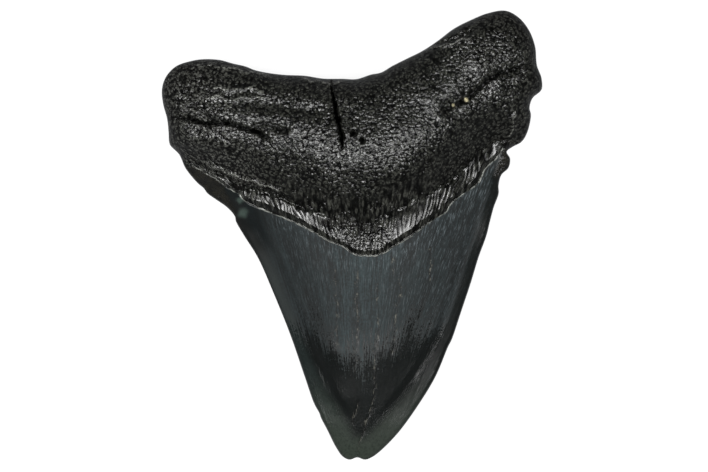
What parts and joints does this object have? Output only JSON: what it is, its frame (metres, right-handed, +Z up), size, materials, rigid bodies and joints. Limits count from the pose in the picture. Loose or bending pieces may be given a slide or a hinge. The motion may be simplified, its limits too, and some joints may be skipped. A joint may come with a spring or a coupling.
{
  "type": "megalodon tooth",
  "caption": "Broad triangular fossil shark tooth with a V-shaped, crevassed root, a striated band below it and a smooth tapering crown, lying on its outer face.",
  "frame": {"origin": "middle of the tooth's outline, on the surface that it lies on", "axes": "+Y from the tip of the crown to the root, +Z up through the thickness from the outer (labial) face to the inner (lingual) face, +X across the tooth to the taller root lobe"},
  "size_m": [0.081, 0.096, 0.0224],
  "materials": {
    "fossil": "black phosphatised dentine and enamel: crinkled and half glossy on the root, polished with fine streaks on the crown, olive-grey at the cutting edges"
  },
  "bodies": {
    "root": {"tooth": "fossil"}
  },
  "joints": []
}
